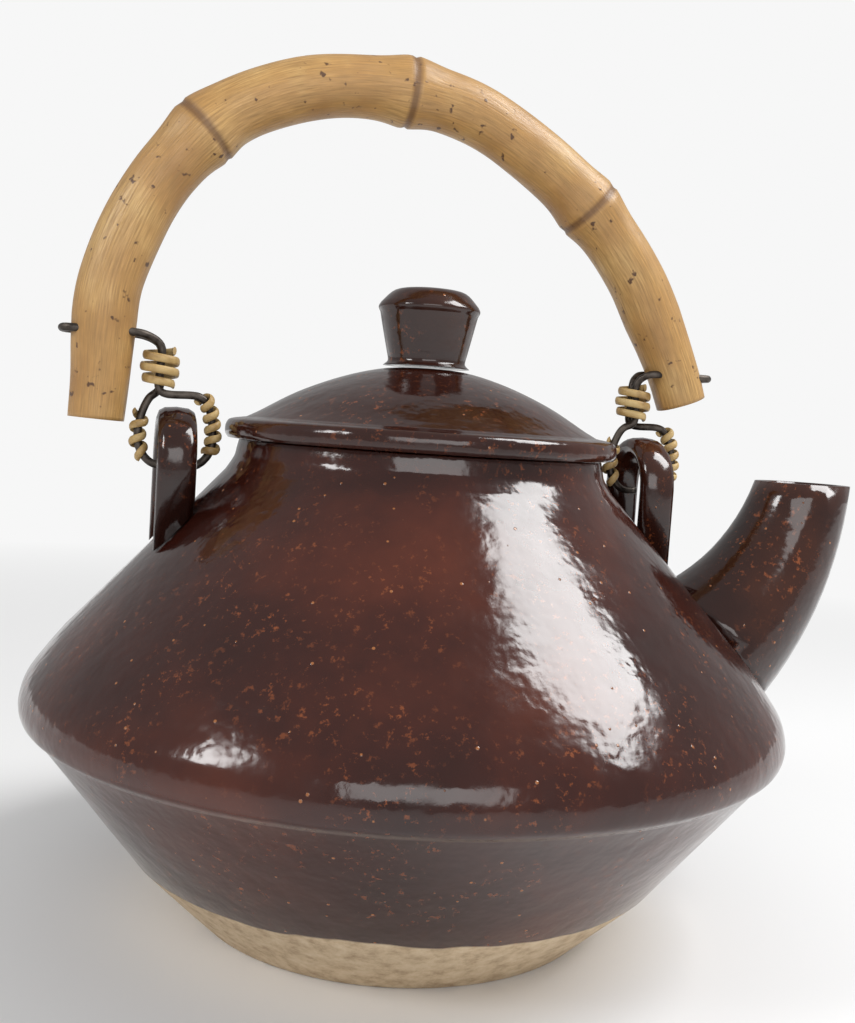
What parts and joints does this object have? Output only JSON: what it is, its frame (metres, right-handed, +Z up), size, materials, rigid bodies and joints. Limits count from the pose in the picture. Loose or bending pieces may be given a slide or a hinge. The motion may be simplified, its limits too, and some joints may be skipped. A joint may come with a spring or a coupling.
{
  "type": "teapot",
  "caption": "Brown glazed pottery teapot with a lift-off lid and a swinging bamboo-root bail handle on wire links, for brewing and pouring tea.",
  "frame": {"origin": "centre of the flat unglazed base, on the surface the pot stands on", "axes": "+Z up along the pot's turning axis; +X towards the spout; the bail stands in the XZ plane"},
  "size_m": [0.2053, 0.178, 0.2009],
  "materials": {
    "glaze": "glossy red-brown glaze with rust breaks",
    "bamboo": "satin bamboo root",
    "cane": "satin split cane",
    "wire": "dull dark wire"
  },
  "bodies": {
    "pot": {"pot_body": "glaze", "spout": "glaze", "ear_left": "glaze", "ear_right": "glaze"},
    "lid": {"lid": "glaze", "lid_knob": "glaze"},
    "bail": {"bamboo_handle": "bamboo", "wire_link_left": "wire", "wire_link_right": "wire", "cane_outer_arm_left": "cane", "cane_inner_arm_left": "cane", "cane_outer_arm_right": "cane", "cane_inner_arm_right": "cane", "cane_knot_left": "cane", "cane_knot_right": "cane"}
  },
  "joints": [
    {"name": "lid_lift", "type": "slide", "parent": "pot", "child": "lid", "axis": [0, 0, 1], "range_m": [0, 0.028]},
    {"name": "bail_swing", "type": "hinge", "parent": "pot", "child": "bail", "pos_m": [0, 0, 0.1043], "axis": [1, 0, 0], "range_deg": [-85, 85]}
  ]
}
